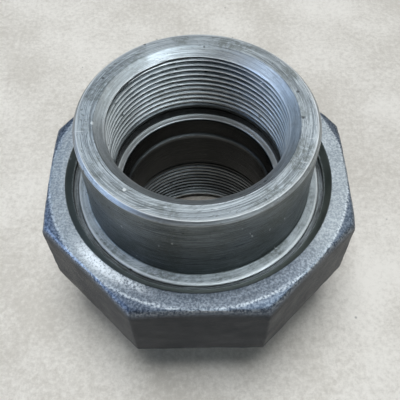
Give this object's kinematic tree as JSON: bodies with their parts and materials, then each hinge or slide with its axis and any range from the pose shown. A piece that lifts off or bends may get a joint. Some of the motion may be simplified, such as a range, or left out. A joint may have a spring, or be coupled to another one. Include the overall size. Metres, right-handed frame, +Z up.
{
  "type": "pipe union",
  "caption": "Screwed pipe union of three steel pieces: two tapped ends that meet on a ball-and-cone seat, drawn together by an octagonal nut.",
  "frame": {"origin": "centre of the bore at the bottom end face, the face the union stands on", "axes": "+Z up along the bore towards the swivel end, -Y and +Y out of two opposite wrench flats, +X to the right seen from -Y"},
  "size_m": [0.1028, 0.1028, 0.0861],
  "materials": {
    "machined_steel": "turned, with fine circular tool marks",
    "forged_steel": "blasted forging with light oil, satin"
  },
  "bodies": {
    "threaded_end": {"threaded_piece": "machined_steel"},
    "tail_end": {"tail_piece": "machined_steel"},
    "nut": {"union_nut": "forged_steel"}
  },
  "joints": [
    {"name": "tail_lift", "type": "slide", "parent": "threaded_end", "child": "tail_end", "axis": [0, 0, 1], "range_m": [0, 0.02541]},
    {"name": "nut_turn", "type": "hinge", "parent": "tail_end", "child": "nut", "pos_m": [0, 0, 0.042], "axis": [0, 0, 1], "range_deg": [0, 3960]}
  ],
  "couplings": [
    {"joint": "tail_lift", "follows": "nut_turn", "m_per_rad": 0.0003675}
  ]
}
